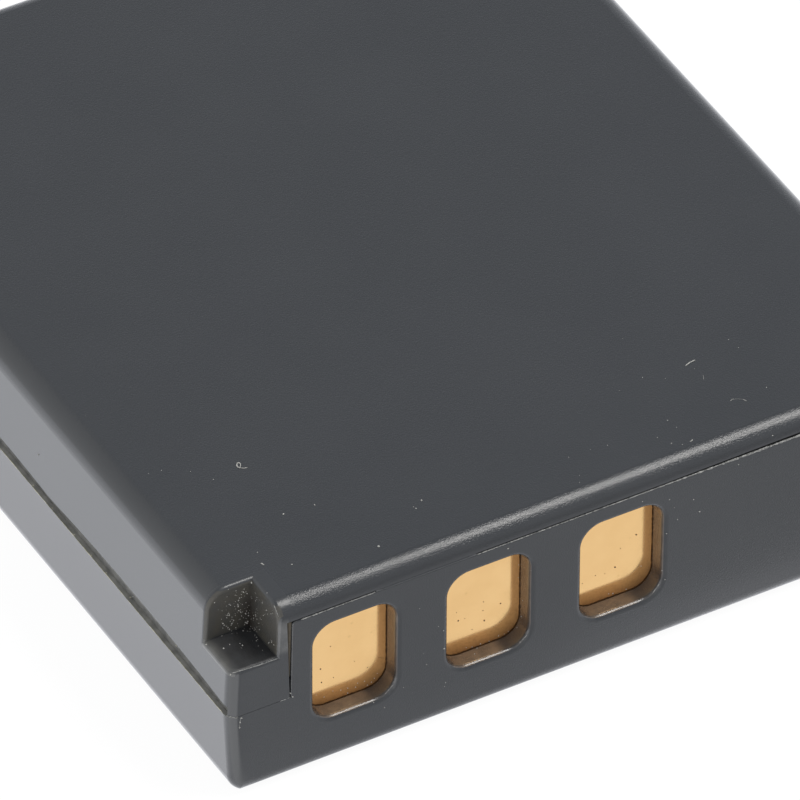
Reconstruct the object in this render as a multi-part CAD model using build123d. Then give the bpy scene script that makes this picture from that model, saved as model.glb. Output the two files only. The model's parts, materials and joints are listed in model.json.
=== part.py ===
"""Slim single-cell camera battery: a two-part moulded case with an end panel of contact windows.

Millimetres, +Z up. The pack lies on its large lower face with the origin at the centre of that
face. +X is across the width, +Y along the length, and the contact end faces -Y. The corner with
the keying notch is at -X, -Y. A depth is a distance from the contact end's outer face.
"""
from build123d import *
from math import radians, tan
import os

# Case, outside
pack_width = 35.5  # across the parting line, the widest level
pack_length = 41.0
pack_height = 9.5
parting_height = 4.5  # upper edge of the base's rim
side_draft = 2.9  # degrees, both halves narrow away from the parting line
base_side_radius = 1.0  # long lower edges
cover_side_radius = 1.0  # long upper edges
end_radius = 0.8  # where each end meets floor and roof
corner_radius = 0.5  # upright corners

# Case walls
side_wall = 0.8
end_wall = 0.85
floor_wall = 0.7
roof_wall = 0.7

# Seam between base and cover
parting_gap = 0.02  # hairline left between the two rims at the ends
groove_height = 0.5  # shadow gap under each long side of the cover, at its snap points
groove_depth = 0.22
groove_end = 0.25  # the groove stops this far from each end
groove_arch = 112.0  # radius of the cover's edge, which arches between the snap points
snap_spacing = 10.0  # between the two snap points of a side
tongue_thickness = 0.3
tongue_height = 1.3
tongue_clearance = 0.05

# Contact panel, an upstand of the base in a cut-out of the cover
post_width = 2.9  # cover corner beside the panel, from the side of the pack, at the parting line
post_draft = 1.65  # degrees, the cut-out widens upwards
slit_width = 0.055  # gap between post and panel, at the parting line
panel_draft = 1.0  # degrees, the panel narrows upwards
front_strip = 0.9  # cover left above the panel
panel_top_gap = 0.07
panel_corner_radius = 0.2
panel_edge_radius = 0.08  # front edges

# Contact windows
window_count = 3
first_window_offset = 6.06  # from the notched side to the first window's centre
window_pitch = 6.43
window_width = 3.94
window_sill = 2.54  # from the underside to the lower edge
window_header = 0.92  # from the panel's top to the upper edge
window_corner_radius = 1.0
window_lip_radius = 0.25

# Keying notch in the cover's corner
notch_web = 0.49  # wall left between notch and panel, at the top
notch_depth = 2.34
notch_drop = 2.54  # from the roof's outer face to the notch's floor
notch_taper = 2.7  # degrees, the pocket narrows downwards
notch_lip_radius = 0.2
notch_wall = 0.6  # jacket around the pocket, inside the case
notch_lead = 2.0  # the pocket's cutter starts this far outside the corner

# Contacts and protection board
contact_clearance = 0.06  # from the panel's inner face
contact_thickness = 0.6
contact_overlap = 0.3  # the plate reaches this far behind the window's edge
contact_corner_radius = 0.4
board_thickness = 0.8
board_clearance = 0.15  # to floor, roof and posts
board_corner = 0.4  # chamfer

# Cell
component_bay = 2.9  # from the board to the cell's lid
cell_clearance = 0.15  # to each side wall
cell_edge_radius = 1.2
swell_gap = 0.3  # free height above the cell
lid_rim_width = 0.4
lid_recess = 0.2
gasket_width = 6.0
gasket_height = 3.2
gasket_thickness = 0.3
terminal_width = 4.6
terminal_height = 2.2
terminal_thickness = 0.5
plug_inset = 5.1  # from the cell's side
plug_radius = 0.7
plug_height = 0.25

# Packing round the cell
insulator_clearance = 0.2  # round what stands on the lid
tape_thickness = 0.1
tape_width = 8.0
tape_length = 26.0
tape_inset = 7.6  # strip's centre from the cell's side
pad_thickness = 0.35
pad_width = 22.0
pad_height = 5.0

# Ribs that hold board and cell apart
rib_width = 3.6
rib_drop = 0.2  # below the parting line
rib_clearance = 0.05
rib_sink = 0.1  # into floor and wall

# Strips from the cell to the board
strip_thickness = 0.15
strip_width = 3.0
positive_inset = 3.85  # riser's place, from the rib
positive_lid_foot = 3.0
board_foot = 1.9
foot_clearance = 0.35  # from the fuse lead's foot to the rib
fuse_gap = 1.2  # from the gasket
fuse_length = 4.5
fuse_height = 3.2
fuse_thickness = 1.0

# Electronic components on the board's inner face
chip_gap = 1.65  # from the positive tab's foot
chip_width = 2.9
chip_height = 1.6
chip_thickness = 1.0
chip_lead_count = 3  # each side
transistor_gap = 2.05  # from the chip
transistor_width = 3.0
transistor_height = 2.8
transistor_thickness = 1.0
transistor_lead_count = 4
lead_pitch = 0.65
lead_width = 0.3
lead_length = 0.6
lead_thickness = 0.2
thermistor_gap = 2.5  # from the fuse lead
thermistor_size = 1.6
thermistor_thickness = 0.8
passive_length = 1.0
passive_width = 0.5
resistor_thickness = 0.35
capacitor_thickness = 0.5
resistor_count = 4
capacitor_count = 3
passive_pitch = 1.7
resistor_row = 2.6  # above the board's centre line
capacitor_row = 2.6  # below it

tolerance = 0.01  # for telling levels and faces apart


def half_width(z):
    """Outside half width of the drafted case at height z."""
    return pack_width / 2 - abs(z - parting_height) * tan(radians(side_draft))


# Places that follow from the sizes above
front = -pack_length / 2
panel_top = pack_height - front_strip
opening_half = pack_width / 2 - post_width
panel_half = opening_half - slit_width
panel_shoulder = panel_half - (panel_top - parting_height) * tan(radians(panel_draft))
window_height = panel_top - window_header - window_sill
window_level = window_sill + window_height / 2
first_window_x = first_window_offset - pack_width / 2
contact_depth = end_wall + contact_clearance
board_depth = contact_depth + contact_thickness
bay_depth = board_depth + board_thickness
lid_depth = bay_depth + component_bay
rim_depth = lid_depth - lid_recess
cell_back = pack_length - end_wall - pad_thickness
cell_bottom = floor_wall + tape_thickness
cell_top = pack_height - roof_wall - swell_gap
cell_level = (cell_bottom + cell_top) / 2
tab_depth = lid_depth - gasket_thickness - terminal_thickness
cell_half = min(half_width(floor_wall), half_width(pack_height - roof_wall)) - side_wall - cell_clearance
rib_outer = half_width(floor_wall) - side_wall + rib_sink
rib_inner = rib_outer - rib_width
positive_x = positive_inset - rib_inner
lead_x = rib_inner - foot_clearance - board_foot
fuse_x = (gasket_width + fuse_length) / 2 + fuse_gap
plug_x = cell_half - plug_inset
tape_x = cell_half - tape_inset
chip_x = positive_x + board_foot + chip_gap + chip_width / 2
transistor_x = chip_x + (chip_width + transistor_width) / 2 + transistor_gap
thermistor_x = lead_x - thermistor_gap - thermistor_size / 2


def block(x, depth, z):
    """Box between two x values, two depths from the contact end, and two heights."""
    size = (x[1] - x[0], depth[1] - depth[0], z[1] - z[0])
    centre = ((x[0] + x[1]) / 2, front + (depth[0] + depth[1]) / 2, (z[0] + z[1]) / 2)
    return Pos(*centre) * Box(*size)


def centred(centre, size):
    """Low and high end of a stretch of the given size about its centre."""
    return (centre - size / 2, centre + size / 2)


def plate(x, z, width, height, radius, depth):
    """Upright plate with rounded corners, centred at x and z, between two depths."""
    level = Plane((x, front + depth[0], z), x_dir=(1, 0, 0), z_dir=(0, 1, 0))
    return extrude(level * RectangleRounded(width, height, radius), depth[1] - depth[0])


def upright(corners, depth):
    """Slab between two depths, with the outline that the (x, z) corners give."""
    level = Plane((0, front + depth[1], 0), x_dir=(1, 0, 0), z_dir=(0, -1, 0))
    return extrude(level * make_face(Polyline(*corners, close=True)), depth[1] - depth[0])


def trapezoid(half_low, half_high, low, high, depth):
    """Slab between two heights, with its half width given at each."""
    return upright([(-half_low, low), (half_low, low), (half_high, high), (-half_high, high)], depth)


def prism(low, high, inset, depth):
    """Drafted length of case section between two heights, set in from the outside."""
    return trapezoid(half_width(low) - inset, half_width(high) - inset, low, high, depth)


def side_view(low, high, face_level):
    """Length of a case half as seen from the side, its corners at face_level rounded."""
    outline = Plane.YZ * Pos(0, (low + high) / 2) * Rectangle(pack_length, high - low)
    corners = [v for v in outline.vertices() if abs(v.Z - face_level) < tolerance]
    return extrude(fillet(corners, end_radius), pack_width, both=True)


def rounded_half(low, high, face_level, side_radius):
    """Outer form of one case half: long edges at face_level, then upright corners, then end edges."""
    form = prism(low, high, 0, (0, pack_length))
    long_edges = [e for e in form.edges().filter_by(Axis.Y) if abs(e.center().Z - face_level) < tolerance]
    form = fillet(long_edges, side_radius)
    ends = form.faces().filter_by(Axis.Y)
    rim_level = high if face_level == low else low
    end_edges = [e for f in ends for e in f.edges() if abs(e.center().Z - rim_level) > tolerance]
    return fillet(end_edges, corner_radius) & side_view(low, high, face_level)


def cavity(low, high):
    """Inside of one case half, with the case's draft."""
    return prism(low, high, side_wall, (end_wall, pack_length - end_wall))


def windows():
    """Cutters for the contact windows."""
    return [
        plate(first_window_x + i * window_pitch, window_level, window_width, window_height,
              window_corner_radius, (-end_wall, 2 * end_wall))
        for i in range(window_count)
    ]


def seam_box(reach, low, high):
    """Block over the case's inside at the seam, reaching into the walls by the given part of them."""
    side = half_width(parting_height) - side_wall + reach
    return block((-side, side), (end_wall, pack_length - end_wall + reach), (low, high))


def contact_panel():
    """Upstand of the base's end wall, with drafted sides, round shoulders and soft front edges."""
    panel = trapezoid(panel_half, panel_shoulder, parting_height, panel_top, (0, end_wall))
    panel = fillet(panel.edges().filter_by(Axis.Y).sort_by(Axis.Z)[-2:], panel_corner_radius)
    outline = panel.faces().sort_by(Axis.Y)[0].edges().sort_by(Axis.Z)[1:]
    return fillet(outline, panel_edge_radius)


def lower_case():
    """Base: floor and drafted walls, contact panel, tongue along three sides, and two spacer ribs."""
    body = rounded_half(0, parting_height, 0, base_side_radius)
    body -= cavity(floor_wall, parting_height)
    body += contact_panel()
    tongue_top = parting_height + tongue_height
    tongue = seam_box(tongue_thickness, parting_height, tongue_top) - seam_box(0, parting_height, tongue_top)
    posts = block((-pack_width, pack_width), (0, end_wall + tongue_clearance), (parting_height, tongue_top))
    body += tongue - posts
    for side in (-1, 1):
        across = sorted((side * rib_inner, side * rib_outer))
        body += block(across, (bay_depth + rib_clearance, rim_depth - rib_clearance),
                      (floor_wall - rib_sink, parting_height - rib_drop))
    for window in windows():
        body -= window
    outer_face = body.faces().filter_by(Axis.Y).sort_by(Axis.Y)[0]
    return fillet(outer_face.inner_wires().edges(), window_lip_radius)


def notch(grow):
    """Pocket for the corner notch, wider at its mouth, grown on its inner sides by a wall."""
    low = pack_height - notch_drop - grow
    mouth = post_width - notch_web + grow - pack_width / 2
    foot = mouth - (pack_height - low) * tan(radians(notch_taper))
    outside = -pack_width / 2 - notch_lead
    corners = [(outside, low), (foot, low), (mouth, pack_height), (outside, pack_height)]
    return upright(corners, (-notch_lead, notch_depth + grow))


def notch_lips(body):
    """Edges of the cut notch that lie on the outside of the cover."""
    pocket = notch(tolerance)
    walls = [f for f in body.faces() if pocket.is_inside(f.center())]
    edges = [e for wall in walls for e in wall.edges()]
    return [e for e in edges if sum(e.is_same(other) for other in edges) == 1]


def groove():
    """Cutter for the shadow gap under the cover's side at +X, arched between the snap points."""
    low, high = parting_height - groove_height, parting_height + groove_height
    stops = (groove_end, *centred(pack_length / 2, snap_spacing), pack_length - groove_end)
    tops = [(depth, high) for depth in stops]
    arches = [RadiusArc(start, end, groove_arch) for start, end in zip(tops, tops[1:])]
    rest = Polyline(tops[-1], (stops[-1], low), (stops[0], low), tops[0])
    level = Plane((pack_width / 2 - groove_depth, front, 0), x_dir=(0, 1, 0), z_dir=(1, 0, 0))
    return extrude(level * make_face([*arches, *rest.edges()]), 2 * groove_depth)


def upper_case():
    """Cover: roof and drafted walls, panel cut-out, rebate for the tongue, side grooves and corner notch."""
    body = rounded_half(parting_height, pack_height, pack_height, cover_side_radius)
    body -= cavity(parting_height, pack_height - roof_wall) - notch(notch_wall)
    body -= notch(0)
    body = fillet(notch_lips(body), notch_lip_radius)
    opening_top = panel_top + panel_top_gap
    opening_shoulder = opening_half + (opening_top - parting_height) * tan(radians(post_draft))
    body -= trapezoid(opening_half, opening_shoulder, parting_height, opening_top, (-end_wall, end_wall))
    rebate_top = parting_height + tongue_height + tongue_clearance
    body -= seam_box(tongue_thickness + tongue_clearance, parting_height, rebate_top)
    body -= block((-pack_width, pack_width), (0, pack_length), (0, parting_height + parting_gap))
    return body - groove() - mirror(groove(), about=Plane.YZ)


def contact(index):
    """Plated contact behind one window, soldered to the board."""
    x = first_window_x + index * window_pitch
    return plate(x, window_level, window_width + 2 * contact_overlap, window_height + 2 * contact_overlap,
                 contact_corner_radius, (contact_depth, board_depth))


def protection_board():
    """Circuit board that stands across the pack behind the contacts."""
    half = panel_shoulder - board_clearance
    low, high = floor_wall + board_clearance, pack_height - roof_wall - board_clearance
    board = block((-half, half), (board_depth, bay_depth), (low, high))
    return chamfer(board.edges().filter_by(Axis.Y), board_corner)


def cell_can():
    """Sealed prismatic can with its lid welded inside a low rim."""
    width, height = 2 * cell_half, cell_top - cell_bottom
    can = plate(0, cell_level, width, height, cell_edge_radius, (rim_depth, cell_back))
    inset = 2 * lid_rim_width
    return can - plate(0, cell_level, width - inset, height - inset, cell_edge_radius - lid_rim_width,
                       (rim_depth - lid_recess, lid_depth))


def terminal_gasket():
    """Insulating seat of the cell's terminal."""
    return plate(0, cell_level, gasket_width, gasket_height, gasket_height / 4,
                 (lid_depth - gasket_thickness, lid_depth))


def cell_terminal():
    """Negative terminal of the cell, on its gasket."""
    return plate(0, cell_level, terminal_width, terminal_height, terminal_height / 4,
                 (tab_depth, lid_depth - gasket_thickness))


def fill_plug():
    """Plug of the cell's filling hole, on the lid."""
    base = Plane((plug_x, front + lid_depth, cell_level), x_dir=(1, 0, 0), z_dir=(0, -1, 0))
    return extrude(base * Circle(plug_radius), plug_height)


def lid_insulator():
    """Fibre sheet on the lid, open round the terminal, the plug and the positive tab."""
    edge = 2 * (lid_rim_width + insulator_clearance)
    span = (rim_depth, lid_depth)
    width, height = 2 * cell_half - edge, cell_top - cell_bottom - edge
    sheet = plate(0, cell_level, width, height, cell_edge_radius / 2, span)
    cut = (rim_depth - lid_recess, lid_depth + lid_recess)
    around = 2 * insulator_clearance
    sheet -= plate(0, cell_level, gasket_width + around, gasket_height + around, gasket_height / 4, cut)
    hole = 2 * plug_radius + around
    sheet -= plate(plug_x, cell_level, hole, hole, plug_radius, cut)
    foot = positive_lid_foot + around
    foot_x = positive_x - positive_lid_foot / 2
    return sheet - plate(foot_x, cell_level, foot, strip_width + around, strip_width / 4, cut)


def strip(x, depth):
    """One straight run of nickel strip, centred on the cell's height."""
    return block(x, depth, centred(cell_level, strip_width))


def positive_tab():
    """Strip from the can's lid to the board: a foot on each and a riser between them."""
    x = positive_x
    tab = strip((x - positive_lid_foot, x), (lid_depth - strip_thickness, lid_depth))
    tab += strip((x - strip_thickness, x), (bay_depth, lid_depth))
    return tab + strip((x - strip_thickness, x + board_foot), (bay_depth, bay_depth + strip_thickness))


def negative_tab():
    """Strip from the cell's terminal to the thermal fuse."""
    across = (-terminal_width / 2, fuse_x - fuse_length / 2)
    return strip(across, (tab_depth - strip_thickness, tab_depth))


def thermal_fuse():
    """Thermal fuse lying on the lid's insulator."""
    depth = (rim_depth - fuse_thickness, rim_depth)
    body = block(centred(fuse_x, fuse_length), depth, centred(cell_level, fuse_height))
    return fillet(body.edges().filter_by(Axis.Z), fuse_thickness / 5)


def fuse_lead():
    """Strip from the thermal fuse to the board."""
    x = lead_x
    lead = strip((fuse_x + fuse_length / 2, x), (tab_depth - strip_thickness, tab_depth))
    lead += strip((x - strip_thickness, x), (bay_depth, tab_depth))
    return lead + strip((x - strip_thickness, x + board_foot), (bay_depth, bay_depth + strip_thickness))


def leaded_package(x, width, height, thickness, count):
    """Moulded package on the board with a row of bent leads along its upper and lower sides."""
    body = block(centred(x, width), (bay_depth + lead_thickness / 2, bay_depth + thickness),
                 centred(cell_level, height))
    for side in (-1, 1):
        edge = cell_level + side * height / 2
        for i in range(count):
            lead_x = x + (i - (count - 1) / 2) * lead_pitch
            body += block(centred(lead_x, lead_width), (bay_depth, bay_depth + lead_thickness),
                          centred(edge, 2 * lead_length))
    return body


def passive_row(count, row, thickness):
    """Row of chip components along the board, centred on the protection chip."""
    depth, z = (bay_depth, bay_depth + thickness), centred(cell_level + row, passive_width)
    places = [chip_x + (i - (count - 1) / 2) * passive_pitch for i in range(count)]
    return Compound(children=[block(centred(x, passive_length), depth, z) for x in places])


def thermistor():
    """Temperature sensor that the middle contact reads."""
    return block(centred(thermistor_x, thermistor_size), (bay_depth, bay_depth + thermistor_thickness),
                 centred(cell_level, thermistor_size / 2))


def cell_tape():
    """Two strips of adhesive tape between the base's floor and the cell."""
    depth, z = centred((rim_depth + cell_back) / 2, tape_length), (floor_wall, cell_bottom)
    places = (-tape_x, tape_x)
    return Compound(children=[block(centred(x, tape_width), depth, z) for x in places])


def rear_pad():
    """Foam pad between the cell and the rear wall."""
    return block(centred(0, pad_width), (cell_back, pack_length - end_wall), centred(cell_level, pad_height))


pieces = {
    "lower_case": lower_case(),
    "upper_case": upper_case(),
    "contact_positive": contact(0),
    "contact_thermistor": contact(1),
    "contact_negative": contact(2),
    "protection_board": protection_board(),
    "protection_chip": leaded_package(chip_x, chip_width, chip_height, chip_thickness, chip_lead_count),
    "switching_transistor": leaded_package(transistor_x, transistor_width, transistor_height,
                                           transistor_thickness, transistor_lead_count),
    "thermistor": thermistor(),
    "chip_resistors": passive_row(resistor_count, resistor_row, resistor_thickness),
    "chip_capacitors": passive_row(capacitor_count, -capacitor_row, capacitor_thickness),
    "cell_can": cell_can(),
    "terminal_gasket": terminal_gasket(),
    "cell_terminal": cell_terminal(),
    "fill_plug": fill_plug(),
    "lid_insulator": lid_insulator(),
    "positive_tab": positive_tab(),
    "negative_tab": negative_tab(),
    "thermal_fuse": thermal_fuse(),
    "fuse_lead": fuse_lead(),
    "cell_tape": cell_tape(),
    "rear_pad": rear_pad(),
}

os.makedirs("parts", exist_ok=True)
for name, piece in pieces.items():
    export_step(piece, f"parts/{name}.step")
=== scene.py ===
# %% [markdown]
# Camera battery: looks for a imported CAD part
# The pack's shapes come from the CAD frame, in metres and in one place for every tool.
# This lesson dresses them: moulded plastic with a fine grain, polished gold contacts, and the dust,
# fibres and moulding flash that a close camera sees on a small object.

# %% Load the frame
import json
import math
import random
import bmesh
import bpy
from mathutils import Matrix, Vector
from mathutils.bvhtree import BVHTree


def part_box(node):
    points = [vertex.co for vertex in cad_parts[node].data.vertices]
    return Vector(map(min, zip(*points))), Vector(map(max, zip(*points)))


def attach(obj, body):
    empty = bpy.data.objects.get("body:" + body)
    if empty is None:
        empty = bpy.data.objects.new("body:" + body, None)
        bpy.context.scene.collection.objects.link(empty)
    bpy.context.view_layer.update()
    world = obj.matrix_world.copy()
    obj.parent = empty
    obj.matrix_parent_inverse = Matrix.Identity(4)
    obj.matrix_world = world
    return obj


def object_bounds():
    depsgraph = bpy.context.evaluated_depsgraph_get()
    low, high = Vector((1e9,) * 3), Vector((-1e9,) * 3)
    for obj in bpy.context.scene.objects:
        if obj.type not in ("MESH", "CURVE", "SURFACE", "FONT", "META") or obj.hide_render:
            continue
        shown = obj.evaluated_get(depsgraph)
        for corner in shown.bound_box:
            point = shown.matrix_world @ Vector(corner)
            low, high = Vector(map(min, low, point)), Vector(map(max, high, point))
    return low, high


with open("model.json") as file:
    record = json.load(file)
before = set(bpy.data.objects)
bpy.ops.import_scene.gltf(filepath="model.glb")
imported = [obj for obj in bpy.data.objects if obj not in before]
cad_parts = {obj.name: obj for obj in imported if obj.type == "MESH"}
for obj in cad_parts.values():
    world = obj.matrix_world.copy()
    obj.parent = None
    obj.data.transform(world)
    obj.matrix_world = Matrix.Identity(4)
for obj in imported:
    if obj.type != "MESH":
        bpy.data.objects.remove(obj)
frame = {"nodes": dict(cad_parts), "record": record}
nodes = frame["nodes"]
cad_low, cad_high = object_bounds()
MM = 0.001
print("nodes", len(nodes), "box in mm", [round(v / MM, 2) for v in cad_high - cad_low])

# %% [markdown]
# Shader maths as plain expressions
# A material is a graph of nodes. Writing each Math node by hand hides the idea, so a socket is wrapped
# in a small class: adding or multiplying two wrapped sockets adds the Math node that does it.
# Any other node comes from one method that takes its type, its settings and its inputs.

# %% A socket with operators
class Sock:
    def __init__(self, tree, socket):
        self.tree, self.socket = tree, socket

    def math(self, operation, a, b):
        return Graph(self.tree).node("ShaderNodeMath", {"operation": operation}, {0: a, 1: b})[0]

    def __add__(self, other):
        return self.math("ADD", self, other)

    def __radd__(self, other):
        return self.math("ADD", other, self)

    def __sub__(self, other):
        return self.math("SUBTRACT", self, other)

    def __rsub__(self, other):
        return self.math("SUBTRACT", other, self)

    def __mul__(self, other):
        return self.math("MULTIPLY", self, other)

    def __rmul__(self, other):
        return self.math("MULTIPLY", other, self)

    def __lt__(self, other):
        return self.math("LESS_THAN", self, other)

    def __gt__(self, other):
        return self.math("GREATER_THAN", self, other)


# %% A graph of nodes
class Graph:
    def __init__(self, tree):
        self.tree = tree

    def node(self, kind, settings, inputs):
        made = self.tree.nodes.new(kind)
        for name, value in settings.items():
            if name == "stops":
                self.set_stops(made.color_ramp, value)
            else:
                setattr(made, name, value)
        for key, value in inputs.items():
            socket = made.inputs[key]
            if isinstance(value, Sock):
                self.tree.links.new(value.socket, socket)
            else:
                socket.default_value = value
        return [Sock(self.tree, out) for out in made.outputs]

    def set_stops(self, ramp, stops):
        while len(ramp.elements) < len(stops):
            ramp.elements.new(1.0)
        for element, (place, shade) in zip(ramp.elements, stops):
            element.position, element.color = place, shade

    def place(self):
        # Output 3 of a Texture Coordinate node is Object.
        return self.node("ShaderNodeTexCoord", {}, {})[3]

    def axes(self):
        return self.node("ShaderNodeSeparateXYZ", {}, {0: self.place()})

    def stretched(self, x, y, z):
        scaled = {"Vector": self.place(), "Scale": (x, y, z)}
        return self.node("ShaderNodeMapping", {}, scaled)[0]

    def noise(self, size, detail=2.0, roughness=0.5, vector=None):
        sockets = {"Vector": vector or self.place(), "Scale": 1.0 / size}
        sockets |= {"Detail": detail, "Roughness": roughness}
        return self.node("ShaderNodeTexNoise", {}, sockets)[0]

    def ramp(self, value, low, high):
        sockets = {"Value": value, "From Min": low, "From Max": high}
        return self.node("ShaderNodeMapRange", {"interpolation_type": "SMOOTHSTEP"}, sockets)[0]

    def mix(self, factor, a, b):
        # A Mix node shows other sockets for each data type: 0 is its factor, 6 and 7 its colours.
        return self.node("ShaderNodeMix", {"data_type": "RGBA"}, {0: factor, 6: a, 7: b})[2]

    def specks(self, spacing, radius, share):
        cells = self.node("ShaderNodeTexVoronoi", {}, {"Vector": self.place(), "Scale": 1.0 / spacing})
        chance = self.node("ShaderNodeSeparateColor", {}, {0: cells[1]})[0]
        return self.ramp(cells[0], radius / spacing, 0.5 * radius / spacing) * (chance < share)

    def bump(self, height, strength, distance):
        sockets = {"Strength": strength, "Distance": distance, "Height": height}
        return self.node("ShaderNodeBump", {}, sockets)[0]


# %% A finish from a graph
def finish_for(name, build):
    material = bpy.data.materials.new(name)
    material.use_nodes = True
    tree = material.node_tree
    shader = tree.nodes["Principled BSDF"]
    for key, value in build(Graph(tree)).items():
        socket = shader.inputs[key]
        if isinstance(value, Sock):
            tree.links.new(value.socket, socket)
        else:
            socket.default_value = value
    return material


def colour(red, green, blue):
    return (red, green, blue, 1.0)


print("shader helpers ready")

# %% [markdown]
# Moulded plastic
# The case is dark grey plastic from a mould with a fine sparked surface. The plastic itself is glossy, so
# a highlight is bright and narrow, and the sparked grain frays its edges. So the grain is a bump less
# than a tenth of a millimetre wide over a low roughness. It is stronger along the front upper edge, which
# handling has polished, and weaker on the lips of the notch. Some places differ in colour too, and masks
# made from the coordinates find them: the notch with its lighter, browner walls, its floor and inner
# corner darker as painted shade and its floor's left rim lighter as painted light, the lighter post
# beside it, the pale ledge of each side groove and the groove's wall lighter as painted light, and the
# brown walls and sills of the contact windows, which are part dust and part painted light thrown back by
# the gold, with painted shade in their lower corners. The bounds of the masks are in millimetres.

# %% Colours and places on the case
GRAIN_SIZE = 0.07 * MM
CASE_DARK = colour(0.0308, 0.0326, 0.0354)
CASE_LIGHT = colour(0.0332, 0.0350, 0.0378)
WALL_SHADE = colour(0.051, 0.0465, 0.037)
# Painted shade: the notch's inner corner is painted darker.
NOOK_PAINTED_SHADE = colour(0.018, 0.013, 0.010)
# Painted shade: the notch's floor is painted darker.
FLOOR_PAINTED_SHADE = colour(0.014, 0.0135, 0.0135)
LEDGE_DUST = colour(0.28, 0.275, 0.25)
# Painted light on the wall of each side groove.
GROOVE_PAINTED_LIGHT = colour(0.17, 0.168, 0.158)
# Dust in the contact windows, with painted light that the gold throws back; more of both on the sills.
WINDOW_DUST_AND_BOUNCE_LIGHT = colour(0.128, 0.094, 0.068)
SILL_DUST_AND_BOUNCE_LIGHT = colour(0.21, 0.15, 0.10)
# Painted light on the rounded left rim of the notch's floor.
RIM_PAINTED_LIGHT = colour(0.12, 0.118, 0.11)
POST_PALE = colour(0.105, 0.105, 0.103)
EDGE_GRAIN = 0.7
POLISH_SPAN = (-15.0, -3.0)
FRONT, TOP, HALF_WIDTH = cad_low.y / MM, cad_high.z / MM, cad_high.x / MM
SEAM, SEAM_HALF = 4.5, 0.012
NOTCH_SIDE, NOTCH_BACK, NOTCH_FLOOR = -15.1, -18.05, 7.05
WINDOW_SPAN, WINDOW_RISE, WINDOW_DEPTH = (-14.0, 5.0), (2.2, 8.2), 0.9
FACE_SKIN = 0.08
WINDOW_FIRST, WINDOW_PITCH, WINDOW_HALF, WINDOW_SILL = -11.69, 6.43, 1.97, 2.54
WINDOW_EDGES = [WINDOW_FIRST + i * WINDOW_PITCH + WINDOW_HALF for i in range(3)]
WINDOW_ROUND = 1.0
print("right edges of the windows in mm", [round(edge, 2) for edge in WINDOW_EDGES])


# %% Masks on the case
def within(value, low, high):
    return (value > low * MM) * (value < high * MM)


def fade(graph, value, start, end):
    return graph.ramp(value, start * MM, end * MM)


def notch_masks(graph, x, y, z):
    pocket = (x < NOTCH_SIDE * MM) * within(y, FRONT + FACE_SKIN, NOTCH_BACK)
    wall = pocket * within(z, NOTCH_FLOOR, TOP - 0.1)
    floor = pocket * within(z, NOTCH_FLOOR - 0.15, NOTCH_FLOOR)
    # Painted light: the rounded left rim of the notch's floor is painted lighter.
    rim = pocket * within(z, NOTCH_FLOOR - 0.35, NOTCH_FLOOR)
    rim = rim * fade(graph, x, 0.75 - HALF_WIDTH, -0.05 - HALF_WIDTH)
    # Painted shade in the notch's inner corner, where its back and right walls meet.
    painted_nook_shade = fade(graph, x, NOTCH_SIDE - 1.0, NOTCH_SIDE - 0.3)
    painted_nook_shade = painted_nook_shade * fade(graph, y, NOTCH_BACK - 0.75, NOTCH_BACK - 0.15)
    painted_nook_shade = pocket * painted_nook_shade * fade(graph, z, TOP - 0.5, TOP - 1.3)
    lip = (x < (NOTCH_SIDE + 0.5) * MM) * (y < (NOTCH_BACK + 0.2) * MM) * (z > (TOP - 0.3) * MM)
    post = within(x, NOTCH_SIDE - 0.26, NOTCH_SIDE + 0.2) * (y < (FRONT + 0.2) * MM)
    post = post * fade(graph, z, NOTCH_FLOOR - 0.15, NOTCH_FLOOR + 0.35)
    post = post * fade(graph, z, TOP - 0.5, TOP - 1.0)
    return wall, floor, rim, painted_nook_shade, lip, post


def seam_masks(x, y, z):
    outer = x * x > ((HALF_WIDTH - 0.45) * MM) ** 2
    ledge = outer * within(z, SEAM - SEAM_HALF, SEAM + SEAM_HALF)
    groove = outer * (x * x < ((HALF_WIDTH - 0.19) * MM) ** 2)
    groove = groove * within(z, SEAM + SEAM_HALF, SEAM + 0.6) * within(y, FRONT + 0.4, -FRONT - 0.4)
    return ledge, groove


def window_masks(graph, x, y, z):
    window = within(x, *WINDOW_SPAN) * within(y, FRONT + FACE_SKIN, FRONT + WINDOW_DEPTH)
    window = window * within(z, *WINDOW_RISE)
    # Painted shade: near the lower corners of each window the brown gives way to the plain dark plastic.
    corner = 0.0
    for far in WINDOW_EDGES:
        near = far - 2 * WINDOW_HALF
        right = fade(graph, x, far - 1.5, far - 0.9) * (x < (far + 0.4) * MM)
        left = fade(graph, x, near + 0.9, near + 0.4) * (x > (near - 0.4) * MM)
        corner = right + 0.6 * left + corner
    corner = corner * fade(graph, z, WINDOW_SILL + 1.4, WINDOW_SILL + 0.6)
    dust_and_bounce_light = window * (1.0 - 0.9 * corner)
    return window, dust_and_bounce_light, dust_and_bounce_light * (z < (WINDOW_SILL + 0.21) * MM)


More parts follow.
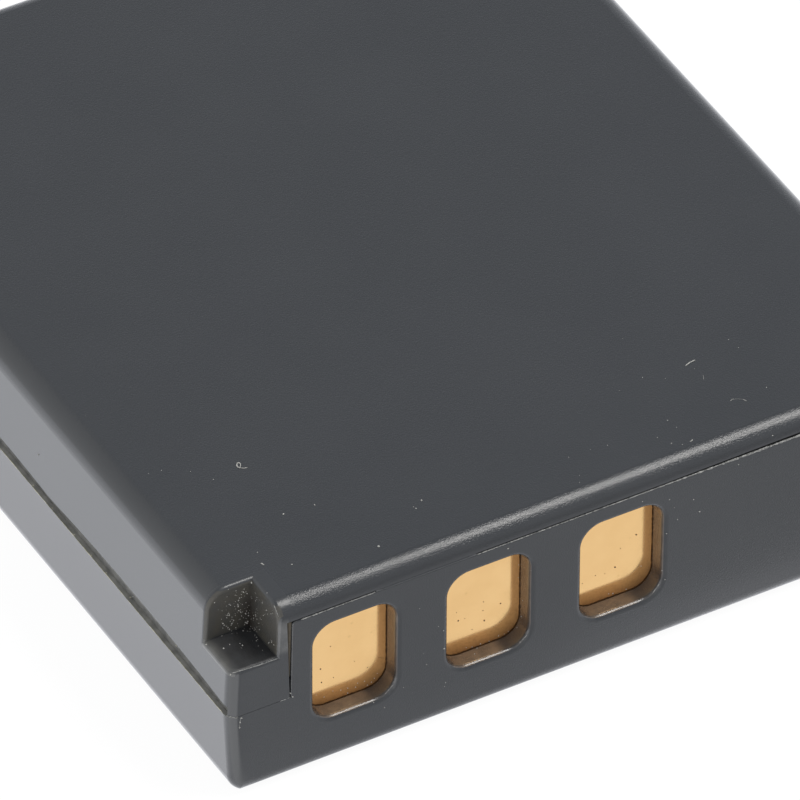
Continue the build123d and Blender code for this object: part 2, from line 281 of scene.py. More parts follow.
# %% Case finish
def moulded_plastic(graph):
    x, y, z = graph.axes()
    wall, floor, rim, painted_nook_shade, lip, post = notch_masks(graph, x, y, z)
    ledge, groove = seam_masks(x, y, z)
    window, dust_and_bounce_light, sill = window_masks(graph, x, y, z)
    drift = graph.noise(6.0 * MM, 3.0)
    grain = graph.noise(GRAIN_SIZE, 2.0, 0.6)
    film = graph.ramp(graph.noise(0.5 * MM, 3.0), 0.25, 0.75)
    shade = graph.mix(graph.ramp(drift, 0.3, 0.7), CASE_DARK, CASE_LIGHT)
    # The plastic's colour takes dust, and painted light and shade, from these masks.
    for mask, most, dust in ((wall, 1.0, WALL_SHADE), (painted_nook_shade, 0.8, NOOK_PAINTED_SHADE),
                             (floor, 0.9, FLOOR_PAINTED_SHADE), (ledge, 1.0, LEDGE_DUST),
                             (groove, 1.0, GROOVE_PAINTED_LIGHT), (dust_and_bounce_light, 0.7, WINDOW_DUST_AND_BOUNCE_LIGHT),
                             (sill, 0.6, SILL_DUST_AND_BOUNCE_LIGHT), (rim, 1.0, RIM_PAINTED_LIGHT), (post, 1.0, POST_PALE)):
        shade = graph.mix(mask * most * (0.5 + 0.5 * film), shade, dust)
    inside = graph.ramp(x * x, ((HALF_WIDTH - 0.45) * MM) ** 2, ((HALF_WIDTH - 1.15) * MM) ** 2)
    edge = fade(graph, y, FRONT + 0.78, FRONT + 0.6) * fade(graph, z, TOP - 0.5, TOP - 0.3)
    relief = (1.0 - 0.7 * lip) * (1.0 + EDGE_GRAIN * edge)
    polish = edge * (0.3 + 0.7 * fade(graph, x, *POLISH_SPAN))
    return {
        "Base Color": shade,
        "Roughness": 0.17 + 0.05 * graph.ramp(grain, 0.3, 0.7) + 0.3 * (wall + floor) + 0.12 * lip,
        "Coat Weight": window * 0.5 + polish * (0.14 + 0.22 * graph.ramp(grain, 0.45, 0.60)),
        "Coat Roughness": 0.15,
        "Normal": graph.bump((grain - 0.5) * inside * relief, 0.5, 0.03 * MM),
    }


# %% [markdown]
# Gold contacts
# The plates are nickel with a polished gold flash, so they mirror the pale table in front of the pack.
# Along the lower and right edges they mirror the window's walls instead, and that band is a brown painted
# reflection of the walls, mottled and less of a mirror. Its inner corner is as round as the window's.

# %% Contact finish
GOLD = colour(0.96, 0.62, 0.280)
GOLD_DEEP = colour(0.93, 0.59, 0.260)
SMUDGE = colour(0.78, 0.47, 0.185)
# The band's brown is painted reflection of the window's walls.
BAND_REFLECTION = colour(0.76, 0.40, 0.142)
BAND_REFLECTION_DEEP = colour(0.36, 0.165, 0.06)
BAND_RISE, BAND_WIDTH, BAND_FADE = 0.78, 0.42, 0.1
BAND_DARK = (1.2, 1.85)


def polished_gold(graph):
    x, _, z = graph.axes()
    down = (WINDOW_SILL + BAND_RISE + WINDOW_ROUND) * MM - z
    down = down * (down > 0.0)
    across = 0.0
    for edge in WINDOW_EDGES:
        start = edge - BAND_WIDTH - WINDOW_ROUND
        across = within(x, start, edge + 0.4) * (x - start * MM) + across
    reach = down * down + across * across
    film = graph.ramp(reach, *[((WINDOW_ROUND + step) * MM) ** 2 for step in (-BAND_FADE, BAND_FADE)])
    mottle = graph.ramp(graph.noise(0.12 * MM, 3.0, 0.6), 0.4, 0.75)
    deep = graph.ramp(reach, *[(step * MM) ** 2 for step in BAND_DARK])
    # Painted reflection: the brown band, mottled and darker towards the lower and right edges.
    painted_reflection = graph.mix(0.3 * mottle + 0.6 * deep, BAND_REFLECTION, BAND_REFLECTION_DEEP)
    drift = graph.noise(1.5 * MM, 3.0)
    smudge = graph.specks(0.5 * MM, 0.10 * MM, 0.25) * 0.35
    plating = graph.mix(graph.ramp(drift, 0.3, 0.7), GOLD, GOLD_DEEP)
    return {
        "Base Color": graph.mix(film, graph.mix(smudge, plating, SMUDGE), painted_reflection),
        "Metallic": 1.0 - 0.4 * film,
        "Roughness": 0.12 + 0.05 * graph.ramp(drift, 0.35, 0.65) + 0.08 * film,
    }


# %% [markdown]
# What the case hides
# The cell, the board and their small parts never show while the case is shut, but the model can be
# opened, so each gets the finish of the real thing: a two-colour drift, a bump at the right scale and
# a roughness that follows it.

# %% Board and chips
def solder_mask(graph):
    cloth = graph.noise(0.35 * MM, 2.0)
    thread = graph.ramp(cloth, 0.35, 0.65)
    return {
        "Base Color": graph.mix(thread, colour(0.014, 0.10, 0.04), colour(0.02, 0.14, 0.055)),
        "Roughness": 0.25 + 0.1 * cloth,
        "Normal": graph.bump(cloth, 0.15, 0.02 * MM),
    }


def moulded_epoxy(graph):
    grain = graph.noise(0.06 * MM, 2.0)
    return {
        "Base Color": graph.mix(grain, colour(0.009, 0.009, 0.010), colour(0.016, 0.016, 0.017)),
        "Roughness": 0.45 + 0.2 * grain,
        "Normal": graph.bump(grain, 0.3, 0.01 * MM),
    }


def fired_ceramic(graph):
    grain = graph.noise(0.12 * MM, 3.0)
    return {
        "Base Color": graph.mix(grain, colour(0.28, 0.22, 0.165), colour(0.37, 0.30, 0.235)),
        "Roughness": 0.35 + 0.2 * grain,
        "Normal": graph.bump(grain, 0.2, 0.01 * MM),
    }


# %% Metals of the cell
def drawn_aluminium(graph):
    drawn = graph.noise(0.2 * MM, 3.0, 0.6, graph.stretched(1.0, 0.03, 1.0))
    return {
        "Base Color": graph.mix(drawn, colour(0.72, 0.73, 0.74), colour(0.83, 0.84, 0.85)),
        "Metallic": 1.0,
        "Roughness": 0.3 + 0.2 * drawn,
        "Normal": graph.bump(drawn, 0.2, 0.01 * MM),
    }


def rolled_nickel(graph):
    rolled = graph.noise(0.1 * MM, 2.0, 0.5, graph.stretched(0.05, 1.0, 1.0))
    return {
        "Base Color": graph.mix(rolled, colour(0.56, 0.54, 0.50), colour(0.67, 0.65, 0.61)),
        "Metallic": 1.0,
        "Roughness": 0.28 + 0.18 * rolled,
        "Normal": graph.bump(rolled, 0.15, 0.01 * MM),
    }


# %% Gasket, insulator, fuse, tape and foam
def white_gasket(graph):
    cloud = graph.noise(0.8 * MM, 2.0)
    return {
        "Base Color": graph.mix(cloud, colour(0.66, 0.66, 0.64), colour(0.74, 0.74, 0.72)),
        "Roughness": 0.4 + 0.15 * cloud,
        "Normal": graph.bump(cloud, 0.1, 0.02 * MM),
    }


def pressed_fibre(graph):
    felt = graph.noise(0.25 * MM, 4.0, 0.7)
    return {
        "Base Color": graph.mix(felt, colour(0.52, 0.42, 0.29), colour(0.68, 0.58, 0.43)),
        "Roughness": 0.75 + 0.15 * felt,
        "Normal": graph.bump(felt, 0.4, 0.02 * MM),
    }


def fuse_moulding(graph):
    grain = graph.noise(0.15 * MM, 2.0)
    return {
        "Base Color": graph.mix(grain, colour(0.024, 0.024, 0.026), colour(0.036, 0.036, 0.038)),
        "Roughness": 0.25 + 0.15 * grain,
        "Normal": graph.bump(grain, 0.15, 0.01 * MM),
    }


def tape_film(graph):
    creases = graph.noise(1.2 * MM, 4.0, 0.65)
    return {
        "Base Color": graph.mix(creases, colour(0.75, 0.73, 0.67), colour(0.85, 0.83, 0.77)),
        "Roughness": 0.5 + 0.2 * creases,
        "Normal": graph.bump(creases, 0.3, 0.02 * MM),
    }


def closed_cell_foam(graph):
    cells = graph.node("ShaderNodeTexVoronoi", {}, {"Vector": graph.place(), "Scale": 1.0 / (0.18 * MM)})[0]
    return {
        "Base Color": graph.mix(cells, colour(0.05, 0.05, 0.052), colour(0.028, 0.028, 0.03)),
        "Roughness": 0.85 + 0.1 * cells,
        "Normal": graph.bump(cells, 0.6, 0.05 * MM),
    }


# %% Dress the nodes
FINISHES = {
    "case_plastic": moulded_plastic,
    "gold_plating": polished_gold,
    "board_laminate": solder_mask,
    "black_epoxy": moulded_epoxy,
    "chip_ceramic": fired_ceramic,
    "can_aluminium": drawn_aluminium,
    "terminal_nickel": rolled_nickel,
    "gasket_plastic": white_gasket,
    "insulator_fibre": pressed_fibre,
    "fuse_body": fuse_moulding,
    "tape_film": tape_film,
    "foam": closed_cell_foam,
}
finishes = {slot: finish_for(slot, build) for slot, build in FINISHES.items()}
for part in frame["record"]["subparts"]:
    worn = nodes[part["node"]].data.materials
    worn.clear()
    worn.append(finishes[part["material_slot"]])
print("finishes", len(finishes))

# %% [markdown]
# Camera
# The camera stands where the photograph's did: a long lens, above the notched corner of the contact end.
# Its place was worked out from the pack's straight edges.

# %% Camera
CAMERA_PLACE = Vector((-235.491, -412.441, 402.942)) * MM
CAMERA_LOOK = Vector((0.380443, 0.660294, -0.647514))
CAMERA_ROLL = math.radians(0.423)
CAMERA_LENS = 650.58
CAMERA_SENSOR = 36.0
PHOTO_SIZE = 800

camera = bpy.data.objects.new("camera", bpy.data.cameras.new("camera"))
camera.data.lens, camera.data.sensor_width = CAMERA_LENS, CAMERA_SENSOR
camera.data.clip_start, camera.data.clip_end = 0.01, 20.0
camera.rotation_mode = "QUATERNION"
camera.location = CAMERA_PLACE
roll = Matrix.Rotation(CAMERA_ROLL, 3, "Z").to_quaternion()
camera.rotation_quaternion = CAMERA_LOOK.to_track_quat("-Z", "Y") @ roll
bpy.context.collection.objects.link(camera)
bpy.context.scene.camera = camera
print("camera", round((CAMERA_PLACE - (cad_low + cad_high) / 2).length, 3), "m away")

# %% [markdown]
# Finding a place by picture point
# What a close camera sees on the pack is small: dust, fibres, and whitened flash along moulded edges.
# Each is placed by where it shows in the picture. A ray from the camera through that point meets the
# surface that carries the piece, so the piece sits there whatever that surface's shape is.

# %% Rays from the camera
CARRIERS = ("lower_case", "upper_case", "contact_positive", "contact_thermistor", "contact_negative")
corners, faces = [], []
for name in CARRIERS:
    first = len(corners)
    corners += [v.co.copy() for v in nodes[name].data.vertices]
    faces += [[first + i for i in p.vertices] for p in nodes[name].data.polygons]
surface = BVHTree.FromPolygons(corners, faces)
chance = random.Random(41)
print("carriers", len(CARRIERS), "faces", len(faces))


def sight(px, py):
    scale = CAMERA_SENSOR / CAMERA_LENS / PHOTO_SIZE
    middle = (PHOTO_SIZE - 1) / 2
    return camera.rotation_quaternion @ Vector(((px - middle) * scale, (middle - py) * scale, -1.0))


def seat(px, py):
    point, normal, _, _ = surface.ray_cast(CAMERA_PLACE, sight(px, py))
    return point, normal


# %% Grains and strands
def along(stops, step=1.5):
    path = []
    for (ax, ay), (bx, by) in zip(stops, stops[1:]):
        count = max(1, round(math.hypot(bx - ax, by - ay) / step))
        path += [(ax + (bx - ax) * i / count, ay + (by - ay) * i / count) for i in range(count)]
    return path + [stops[-1]]


def grain(mesh, px, py, radius):
    point, normal = seat(px, py)
    turn = normal.to_track_quat("Z", "Y").to_matrix().to_4x4()
    turn = turn @ Matrix.Rotation(chance.uniform(0, math.tau), 4, "Z")
    squash = Matrix.Diagonal((1.0, chance.uniform(0.6, 1.0), chance.uniform(0.5, 0.8), 1.0))
    place = Matrix.Translation(point + normal * 0.2 * radius) @ turn @ squash
    made = bmesh.ops.create_icosphere(mesh, subdivisions=2, radius=radius, matrix=place)
    for vert in made["verts"]:
        vert.co += (vert.co - point) * chance.uniform(-0.15, 0.15)


def strand(mesh, path, radii):
    rings = []
    for i, (point, radius) in enumerate(zip(path, radii)):
        ahead = path[min(i + 1, len(path) - 1)] - path[max(i - 1, 0)]
        place = Matrix.Translation(point) @ ahead.to_track_quat("Z", "Y").to_matrix().to_4x4()
        made = bmesh.ops.create_circle(mesh, segments=6, radius=radius, matrix=place)
        rings.append(list({edge for vert in made["verts"] for edge in vert.link_edges}))
    for near, far in zip(rings, rings[1:]):
        bmesh.ops.bridge_loops(mesh, edges=near + far)
    bmesh.ops.holes_fill(mesh, edges=rings[0] + rings[-1])


def laid(mesh, stops, radius, wobble):
    seats = [seat(px, py) for px, py in along(stops)]
    radii = [radius * chance.uniform(1.0 - wobble, 1.0 + wobble) for _ in seats]
    strand(mesh, [point + normal * 0.4 * radius for point, normal in seats], radii)


# %% A loose piece from a mesh
def loose_piece(name, mesh, finish):
    bmesh.ops.recalc_face_normals(mesh, faces=mesh.faces)
    data = bpy.data.meshes.new(name)
    mesh.to_mesh(data)
    mesh.free()
    data.shade_smooth()
    data.materials.append(finish)
    piece = bpy.data.objects.new(name, data)
    bpy.context.collection.objects.link(piece)
    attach(piece, "root")
    print(name, "faces", len(data.polygons))


# %% [markdown]
# Dust and fibres
# Dust is a few hundred squashed and roughened balls, a few hundredths of a millimetre across, sunk a
# little into what they lie on. They gather in the notch, which nobody wipes: some are scattered there and
# some lie in clumps. A fibre is a thin strand laid from point to point over the surface, and lint is a
# larger ball of the same stuff.

# %% Dust
def dust_grey(graph):
    cloud = graph.noise(0.03 * MM, 2.0)
    return {
        "Base Color": graph.mix(cloud, colour(0.28, 0.275, 0.255), colour(0.46, 0.45, 0.42)),
        "Roughness": 0.8 + 0.15 * cloud,
        "Normal": graph.bump(cloud, 0.3, 0.005 * MM),
    }


FINE_SPECKS = [
    (579, 475), (568, 457), (590, 449), (607, 445), (657, 437), (676, 427), (682, 444), (669, 499),
    (674, 507), (642, 501), (213, 479), (148, 473), (161, 470), (190, 471), (378, 546), (347, 583),
    (419, 608), (423, 653), (426, 664), (438, 626), (445, 682), (444, 686), (403, 687), (373, 702),
    (694, 368), (291, 564), (262, 563), (728, 339), (619, 390), (642, 377), (622, 338), (738, 347),
    (766, 387), (665, 378), (664.5, 579), (530.4, 570), (522, 600), (283, 514), (85, 415),
]
SPECKS = [
    (579, 482), (667, 420), (671, 443), (690, 441), (772, 435), (693, 499), (699, 511), (677, 519),
    (738, 464), (666, 533), (443, 630), (384, 707), (257, 552), (661.5, 570),
    (315.6, 694.5), (323.5, 696.4), (332.3, 690.5), (340.2, 689.5), (347.1, 692.5), (347.1, 687.6),
    (355, 686.6), (357, 682.6), (363.9, 680.7), (366.8, 684.6), (370.8, 681.6), (373.7, 677.7),
    (376.7, 672.8), (471.5, 646.4), (476.4, 647.8), (488.5, 640.6), (494.3, 639.3), (497.9, 635.3),
    (503.7, 633.5), (507.7, 630.8), (480, 643.3), (465.7, 647.3), (518, 577), (518.4, 564.3),
    (516.6, 627.2), (521, 616), (474.2, 653.6), (625.6, 588.7), (608, 593.3), (612.3, 592.9),
    (640.5, 565.5),
]
LARGE_SPECKS = [
    (206, 644), (230, 674), (223, 648), (242, 645), (251, 582), (241, 717.5), (239.5, 722), (239, 727),
    (38, 454), (292, 696.3), (290, 692.5), (507.5, 548), (443.5, 648),
]
POCKET_COUNT = 130
POCKET_MIDDLE, POCKET_SPREAD = (243, 612), (13, 17)
POCKET_LEFT, POCKET_RIGHT, POCKET_HEAD, POCKET_FOOT = 212, 274, 588, 655
CLUMPS = [
    (228.7, 615), (245.4, 622.7), (254.6, 613.5), (265.6, 610.7), (245.4, 591), (239.8, 609.8),
    (226, 624.6), (270, 642), (253, 632), (238, 598), (232, 621), (248, 617),
]
CLUMP_COUNT, CLUMP_SPREAD = 5, 2.4

mesh = bmesh.new()
for places, smallest, largest in ((FINE_SPECKS, 0.012, 0.024), (SPECKS, 0.02, 0.032),
                                  (LARGE_SPECKS, 0.036, 0.05)):
    for px, py in places:
        grain(mesh, px, py, chance.uniform(smallest, largest) * MM)
for _ in range(POCKET_COUNT):
    px = chance.gauss(POCKET_MIDDLE[0], POCKET_SPREAD[0])
    py = chance.gauss(POCKET_MIDDLE[1], POCKET_SPREAD[1])
    if POCKET_LEFT < px < POCKET_RIGHT and POCKET_HEAD < py < POCKET_FOOT:
        grain(mesh, px, py, chance.uniform(0.01, 0.028) * MM)
for px, py in CLUMPS:
    for _ in range(CLUMP_COUNT):
        spot = chance.gauss(px, CLUMP_SPREAD), chance.gauss(py, CLUMP_SPREAD)
        grain(mesh, *spot, chance.uniform(0.016, 0.036) * MM)
dust = finish_for("dust_grey", dust_grey)
loose_piece("dust_specks", mesh, dust)

# %% Fibres
FIBRES = [
    (0.024, [(239.6, 466.6), (240.2, 464.6), (239.4, 462.9), (238, 462.4), (236.7, 463), (236.2, 464.6),
             (236.8, 466.3), (238.5, 467.3), (241, 467.7)]),
    (0.017, [(241, 467.7), (243.5, 467.8), (246.9, 467.2)]),
    (0.026, [(685, 365.5), (689.5, 362), (694.5, 359.8)]),
    (0.026, [(260.5, 563), (263.5, 564.5)]),
    (0.026, [(690.5, 441), (692, 439.5)]),
    (0.010, [(729.5, 400.6), (731.5, 399.2), (733.5, 398.6)]),
    (0.004, [(733.5, 398.6), (738, 398.4), (742.5, 398.8)]),
    (0.010, [(742.5, 398.8), (746, 400.6)]),
    (0.005, [(702.7, 374.5), (703.2, 379)]),
]
LINT = [
    (0.038, 314, 504.4), (0.045, 421, 500), (0.032, 415.5, 508), (0.020, 413, 506.5), (0.055, 378, 546),
    (0.042, 283, 513.6), (0.030, 291.4, 564),
]
mesh = bmesh.new()
for radius, stops in FIBRES:
    laid(mesh, stops, radius * MM, 0.15)
for radius, px, py in LINT:
    grain(mesh, px, py, radius * MM)
loose_piece("fibres", mesh, dust)

# %% [markdown]
# Flash, painted highlights and stress marks
# Where two mould halves met, a thin ragged edge was left, and handling whitened it. Each stretch is a
# strand with an uneven radius, laid along the edge that carries it. Some pale strands paint highlights
# instead: on the notch's top edge, on the post's rounded top, at each window's lower corner, and along
# the contact panel's top, where the pale one grows towards the right. The same strands make the pale line
# along the ledge of each side groove, part flash and part painted edge light, where a few crumbs lie too,
# and fill three hairlines: packed dust in the slit beside the panel, the stretch of the panel's upper
# line that is shut, and a dark strand of painted shadow where that line opens to the right.

# %% Flash and painted highlights
def whitened_flash_and_highlight(graph):
    cloud = graph.noise(0.08 * MM, 3.0)
    white = graph.ramp(cloud, 0.35, 0.65)
    return {
        "Base Color": graph.mix(white, colour(0.10, 0.10, 0.095), colour(0.32, 0.315, 0.30)),
        "Roughness": 0.4 + 0.3 * cloud,
        "Normal": graph.bump(cloud, 0.4, 0.01 * MM),
    }


# Some stretches are whitened flash, others pale strands that paint edge highlights: the notch's top edge,
# the post's rounded top and each window's lower corner.
FLASH_AND_HIGHLIGHTS = [
    (0.013, [(230, 673), (243, 669.5), (262, 663.5), (277, 658)]),
    (0.005, [(238, 582.1), (250, 577.7)]),
    (0.016, [(273.5, 604.5), (278, 616)]),
    (0.015, [(226, 715), (237, 718)]),
    (0.015, [(240, 717), (238.7, 727)]),
    (0.015, [(279.5, 701), (290.5, 696.5)]),
    (0.015, [(127.7, 598), (133.5, 595.6)]),
    (0.012, [(384.5, 693.5), (392.4, 684.6)]),
    (0.012, [(518, 643.5), (526, 635)]),
    (0.012, [(651.7, 593.3), (658.7, 583.7)]),
]
box_low, box_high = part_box("lower_case")
PANEL_FACE, PANEL_TOP = box_low.y, box_high.z
PANEL_LINES = [(-14.3, -10.8), (-5.9, 14.4)]
GAP_START, GAP_FULL, GAP_END = 0.5, 9.0, 14.4


def straight(start, end, step):
    count = max(1, round((end - start).length / step))
    return [start.lerp(end, i / count) for i in range(count + 1)]


def ragged(mesh, path, radius, wobble):
    strand(mesh, path, [radius * chance.uniform(1.0 - wobble, 1.0 + wobble) for _ in path])


def gap_opening(x):
    return min(1.0, max(0.0, (x / MM - GAP_START) / (GAP_FULL - GAP_START)))


mesh = bmesh.new()
for radius, stops in FLASH_AND_HIGHLIGHTS:
    laid(mesh, stops, radius * MM, 0.5)
# Pale strands along the panel's top paint the highlight of its rounded edge, wider where the gap opens.
for first, last in PANEL_LINES:
    ends = [Vector((x * MM, PANEL_FACE + 0.01 * MM, PANEL_TOP - 0.02 * MM)) for x in (first, last)]
    path = straight(*ends, 0.1 * MM)
    radii = [(0.024 + 0.028 * gap_opening(point.x)) * MM * chance.uniform(0.6, 1.4) for point in path]
    strand(mesh, path, radii)
loose_piece("moulding_flash_and_highlights", mesh, finish_for("whitened_flash_and_highlight", whitened_flash_and_highlight))


# %% Ledge of the groove
def olive_crumbs_and_edge_light(graph):
    cloud = graph.noise(0.2 * MM, 3.0)
    pale = graph.ramp(cloud, 0.3, 0.7)
    return {
        "Base Color": graph.mix(pale, colour(0.26, 0.24, 0.17), colour(0.56, 0.53, 0.42)),
        "Roughness": 0.6 + 0.2 * cloud,
        "Normal": graph.bump(cloud, 0.4, 0.01 * MM),
    }


CRUMBS = [(52, 507.5), (106, 572.5), (91, 555), (74, 534), (176, 645), (130, 597), (33, 485)]
LEDGE_SIDE, LEDGE_END = HALF_WIDTH - 0.015, 20.0
mesh = bmesh.new()
# A pale strand along each ledge: part flash, part painted light on the ledge's edge.
for side in (-1, 1):
    ends = [Vector((side * LEDGE_SIDE, y, SEAM)) * MM for y in (-LEDGE_END, LEDGE_END)]
    ragged(mesh, straight(*ends, 0.25 * MM), 0.014 * MM, 0.6)
for px, py in CRUMBS:
    grain(mesh, px, py, chance.uniform(0.03, 0.05) * MM)
loose_piece("ledge_crumbs_and_edge_light", mesh, finish_for("olive_crumbs_and_edge_light", olive_crumbs_and_edge_light))


# %% Packed dust and the shut line
def packed_dust(graph):
    cloud = graph.noise(0.15 * MM, 3.0)
    return {
        "Base Color": graph.mix(cloud, colour(0.045, 0.036, 0.024), colour(0.10, 0.082, 0.058)),
        "Roughness": 0.85 + 0.1 * cloud,
        "Normal": graph.bump(cloud, 0.6, 0.02 * MM),
    }


SLIT_X, SLIT_FOOT, SLIT_TOP = -14.82, 5.6, 8.66
SHUT = (-10.72, -5.94)
mesh = bmesh.new()
ends = [Vector((SLIT_X * MM, PANEL_FACE + 0.14 * MM, level * MM)) for level in (SLIT_FOOT, SLIT_TOP)]
path = straight(*ends, 0.2 * MM)
strand(mesh, path, [0.055 * MM + 0.022 * (point.z - SLIT_FOOT * MM) for point in path])
loose_piece("slit_dust", mesh, finish_for("packed_dust", packed_dust))

mesh = bmesh.new()
ends = [Vector((x * MM, PANEL_FACE + 0.06 * MM, PANEL_TOP + 0.01 * MM)) for x in SHUT]
ragged(mesh, straight(*ends, 0.4 * MM), 0.075 * MM, 0.05)
loose_piece("shut_line", mesh, finishes["case_plastic"])


# %% Painted shadow in the panel's gap
def painted_gap_shadow(graph):
    cloud = graph.noise(0.1 * MM, 2.0)
    return {
        "Base Color": graph.mix(cloud, colour(0.003, 0.003, 0.003), colour(0.012, 0.012, 0.012)),
        "Specular IOR Level": 0.05,
        "Roughness": 0.85 + 0.1 * cloud,
        "Normal": graph.bump(cloud, 0.3, 0.01 * MM),
    }


# A dark strand in the gap's mouth paints the gap's shadow, wider where the line opens.
GAP_STEPS = 17
mesh = bmesh.new()
path, radii = [], []
for i in range(GAP_STEPS + 1):
    point = Vector(((GAP_START + (GAP_END - GAP_START) * i / GAP_STEPS) * MM, PANEL_FACE, PANEL_TOP))
    radius = (0.012 + 0.062 * gap_opening(point.x)) * MM
    path.append(point + Vector((0.0, 0.75 * radius, 0.02 * MM + radius)))
    radii.append(radius)
strand(mesh, path, radii)
loose_piece("painted_gap_shadow", mesh, finish_for("painted_gap_shadow", painted_gap_shadow))


# %% [markdown]
# Tarnish
# The plating has small dark spots where it is worn through. They are as thin as the plating, so they
# are flat specks that barely stand out of the contacts. Where the contacts meet the window's walls, dark
# grime has packed into the corner, and no cloth reaches it.

# %% Tarnish
def tarnish(graph):
    cloud = graph.noise(0.03 * MM, 2.0)
    return {
        "Base Color": graph.mix(cloud, colour(0.10, 0.055, 0.02), colour(0.26, 0.15, 0.06)),
        "Roughness": 0.5 + 0.2 * cloud,
        "Normal": graph.bump(cloud, 0.3, 0.005 * MM),
    }


SPOTS = [
    (320, 668.6), (321, 682), (500, 603), (483.8, 620), (457.7, 620.3), (635.8, 534.2), (614.6, 566.7),
]
FAINT_SPOTS = [
    (333, 677), (354, 660.7), (367, 667), (330, 646), (471.5, 629), (464.4, 618), (483, 601.4),
    (482.5, 610), (456, 612), (595, 575), (581.8, 583), (620, 548), (604.4, 573),
]
mesh = bmesh.new()
for places, smallest, largest in ((SPOTS, 0.034, 0.044), (FAINT_SPOTS, 0.018, 0.026)):
    for px, py in places:
        grain(mesh, px, py, chance.uniform(smallest, largest) * MM)
loose_piece("tarnish_spots", mesh, finish_for("tarnish", tarnish))


# %% Grime along the contacts
def dark_grime(graph):
    cloud = graph.noise(0.08 * MM, 3.0)
    return {
        "Base Color": graph.mix(cloud, colour(0.020, 0.009, 0.003), colour(0.075, 0.036, 0.014)),
        "Specular IOR Level": 0.1,
        "Roughness": 0.8 + 0.15 * cloud,
        "Normal": graph.bump(cloud, 0.5, 0.02 * MM),
    }


ARC_STEPS = 12


def arc(x, z, first, last):
    turns = [math.radians(first + (last - first) * i / ARC_STEPS) for i in range(ARC_STEPS + 1)]
    return [(x + WINDOW_ROUND * math.cos(a), z + WINDOW_ROUND * math.sin(a)) for a in turns]


GRIME_STREAK = [(377.5, 657), (383.5, 657.4)]
WINDOW_HEADER = 0.92
WINDOW_TOP = PANEL_TOP / MM - WINDOW_HEADER
contact_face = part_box("contact_positive")[0].y - 0.005 * MM
mesh = bmesh.new()
for edge in WINDOW_EDGES:
    near, far = edge - 2 * WINDOW_HALF + WINDOW_ROUND, edge - WINDOW_ROUND
    foot, head = WINDOW_SILL + WINDOW_ROUND, WINDOW_TOP - WINDOW_ROUND
    bends = [arc(near, foot, 200, 270), arc(far, foot, 270, 360), arc(far, head, 0, 60)]
    turns = [Vector((x * MM, contact_face, z * MM)) for bend in bends for x, z in bend]
    path = [point for a, b in zip(turns, turns[1:]) for point in straight(a, b, 0.1 * MM)[:-1]]
    ragged(mesh, path, 0.032 * MM, 0.55)
laid(mesh, GRIME_STREAK, 0.008 * MM, 0.3)
loose_piece("window_grime", mesh, finish_for("dark_grime", dark_grime))

# %% [markdown]
# Table, sky and lamp
# The pack lies on a white table that nearly glows. Its shader asks which kind of ray arrives: the camera
# sees white with a faint shadow, a reflection sees a cool white that is brighter in some places than in
# others, and the light that the table throws on the pack is that of plain matte paper.
# The plastic is dark, so most of what the eye sees on it is reflection: the table in the sides and the
# end, a cool sky in the top, and one soft lamp in the rounded edges. The table and the sky are brightest
# on the left. Far out in front both are darker, which gives the front upper edge its dark foot.

# %% Table
TABLE_REACH = 2.5
TABLE_LEVEL = -0.02 * MM
TABLE_GLOW = 0.95
TABLE_SHADE = 0.07
TABLE_PAPER = 0.8
MIRROR_NEAR = colour(0.95, 0.97, 1.02)
MIRROR_RIGHT = colour(1.40, 1.42, 1.49)
MIRROR_FAR = colour(0.45, 0.46, 0.48)
MIRROR_FRONT = colour(0.85, 0.87, 0.91)
MIRROR_LEFT = colour(1.66, 1.68, 1.76)
MIRROR_FAR_LEFT = colour(1.91, 1.95, 2.04)
MIRROR_CORNER = colour(2.20, 2.22, 2.26)
RIGHT_SPAN, FRONT_SPAN, FAR_SPAN = (-6.0, 8.0), (-21.3, -23.3), (-34.0, -52.0)
LEFT_SPAN, FAR_LEFT_SPAN, CORNER_SPAN = (-16.0, -18.0), (-19.0, -22.0), (-20.4, -21.2)
mesh = bmesh.new()
place = Matrix.Translation((0.0, 0.0, TABLE_LEVEL))
bmesh.ops.create_circle(mesh, cap_ends=True, segments=64, radius=TABLE_REACH, matrix=place)
table_mesh = bpy.data.meshes.new("table")
mesh.to_mesh(table_mesh)
mesh.free()
table = bpy.data.objects.new("table", table_mesh)
bpy.context.collection.objects.link(table)

material = bpy.data.materials.new("table_white")
material.use_nodes = True
material.node_tree.nodes.clear()
graph = Graph(material.node_tree)
ray = graph.node("ShaderNodeLightPath", {}, {})
x, y, _ = graph.axes()
near = graph.mix(fade(graph, x, *RIGHT_SPAN), MIRROR_NEAR, MIRROR_RIGHT)
front = graph.mix(fade(graph, y, *FRONT_SPAN), near, MIRROR_FRONT)
front = graph.mix(fade(graph, y, *FAR_SPAN), front, MIRROR_FAR)
side = graph.mix(fade(graph, x, *FAR_LEFT_SPAN), MIRROR_LEFT, MIRROR_FAR_LEFT)
side = graph.mix(fade(graph, y, *CORNER_SPAN), side, MIRROR_CORNER)
cast = graph.mix(fade(graph, x, *LEFT_SPAN), front, side)
glow = graph.node("ShaderNodeEmission", {}, {"Color": colour(1, 1, 1), "Strength": TABLE_GLOW})[0]
faint = graph.node("ShaderNodeBsdfDiffuse", {}, {"Color": colour(*[TABLE_SHADE] * 3)})[0]
matte = graph.node("ShaderNodeBsdfDiffuse", {}, {"Color": colour(*[TABLE_PAPER] * 3)})[0]
mirrored = graph.node("ShaderNodeEmission", {}, {"Color": cast})[0]
lit = graph.node("ShaderNodeAddShader", {}, {0: glow, 1: faint})[0]
# A Light Path node's output 0 tells a camera ray, and its output 3 a glossy one.
plain = graph.node("ShaderNodeMixShader", {}, {0: ray[0], 1: matte, 2: lit})[0]
shown = graph.node("ShaderNodeMixShader", {}, {0: ray[3], 1: plain, 2: mirrored})[0]
graph.node("ShaderNodeOutputMaterial", {}, {"Surface": shown})
table.data.materials.append(material)
print("table", 2 * TABLE_REACH, "m across")

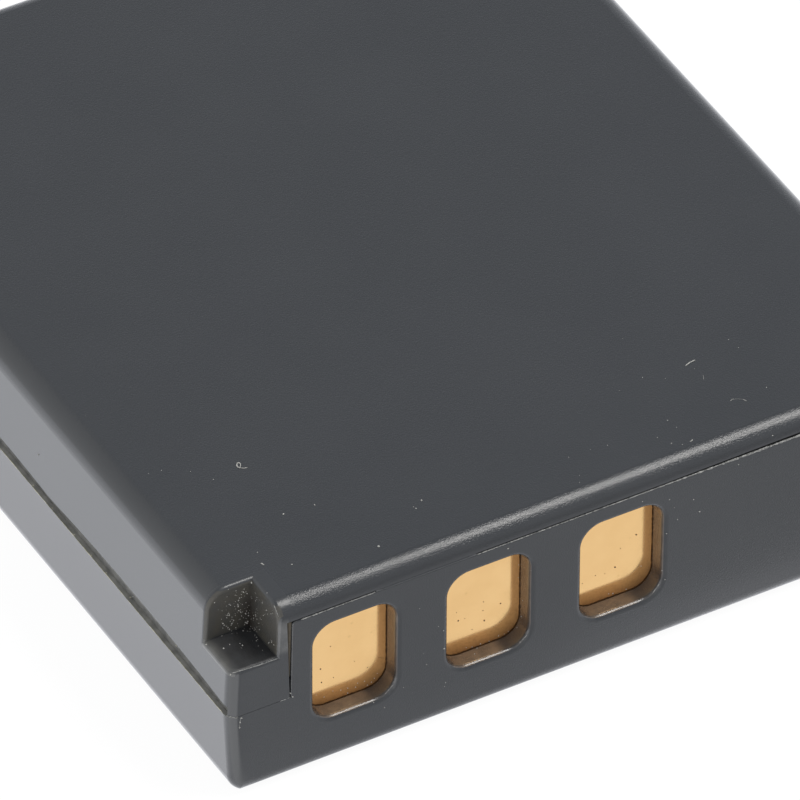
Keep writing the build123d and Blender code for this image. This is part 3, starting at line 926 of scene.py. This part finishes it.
# %% World
SKY_STOPS = [
    (0.0, colour(0.93, 0.96, 1.02)),
    (0.3, colour(0.73, 0.76, 0.82)),
    (0.65, colour(0.39, 0.42, 0.47)),
    (0.85, colour(0.33, 0.36, 0.40)),
    (1.0, colour(0.28, 0.30, 0.33)),
]
LEFT_STOPS = [
    (0.0, colour(1.42, 1.44, 1.46)),
    (0.38, colour(1.14, 1.16, 1.18)),
    (0.65, colour(0.96, 0.98, 1.00)),
    (0.8, colour(0.66, 0.67, 0.69)),
    (1.0, colour(0.28, 0.30, 0.33)),
]
FRONT_GAIN = 0.22
FRONT_GLOOM = 0.36
LEFT_TURN, FRONT_TURN, GLOOM_TURN = (0.38, -0.15), (0.0, -0.5), (-0.62, -0.85)
world = bpy.data.worlds.new("studio")
bpy.context.scene.world = world
world.use_nodes = True
world.node_tree.nodes.clear()
graph = Graph(world.node_tree)
direction = graph.node("ShaderNodeTexCoord", {}, {})[0]
aim = graph.node("ShaderNodeSeparateXYZ", {}, {0: direction})
skies = [graph.node("ShaderNodeValToRGB", {"stops": stops}, {0: aim[2]})[0]
         for stops in (SKY_STOPS, LEFT_STOPS)]
sky = graph.mix(graph.ramp(aim[0], *LEFT_TURN), *skies)
gloom = 1.0 - FRONT_GLOOM * graph.ramp(aim[1], *GLOOM_TURN)
strength = gloom * (1.0 + FRONT_GAIN * graph.ramp(aim[1], *FRONT_TURN))
backdrop = graph.node("ShaderNodeBackground", {}, {"Color": sky, "Strength": strength})[0]
graph.node("ShaderNodeOutputWorld", {}, {"Surface": backdrop})
print("skies", len(skies))


# %% [markdown]
# The lamp is a rectangle that faces the pack, given by the direction it stands in, its distance, its
# two sides as angles seen from the pack, how bright its face is, and its tint. The power follows from
# the face and its brightness.

# %% Lamp
def soft_lamp(name, toward, distance, angles, brightness, tint):
    outward = Vector(toward).normalized()
    along = (Vector((0, 1, 0)) - outward * outward.y).normalized()
    size = [2.0 * distance * math.tan(angle / 2.0) for angle in angles]
    lamp = bpy.data.lights.new(name, "AREA")
    lamp.shape, lamp.size, lamp.size_y = "RECTANGLE", size[0], size[1]
    lamp.energy, lamp.color = math.pi * size[0] * size[1] * brightness, tint
    made = bpy.data.objects.new(name, lamp)
    made.location = outward * distance
    made.rotation_mode = "QUATERNION"
    made.rotation_quaternion = Matrix((along.cross(outward), along, outward)).transposed().to_quaternion()
    made.visible_camera = False
    bpy.context.collection.objects.link(made)
    print(name, "size", [round(v, 3) for v in size], "power", round(lamp.energy, 3))


soft_lamp("overhead_softbox", toward=(0.38, -0.17, 0.908), distance=0.45, angles=(0.36, 0.52),
          brightness=11.0, tint=(1.0, 0.98, 0.95))

# %% Close the scene
bpy.context.scene.view_settings.view_transform = "Standard"
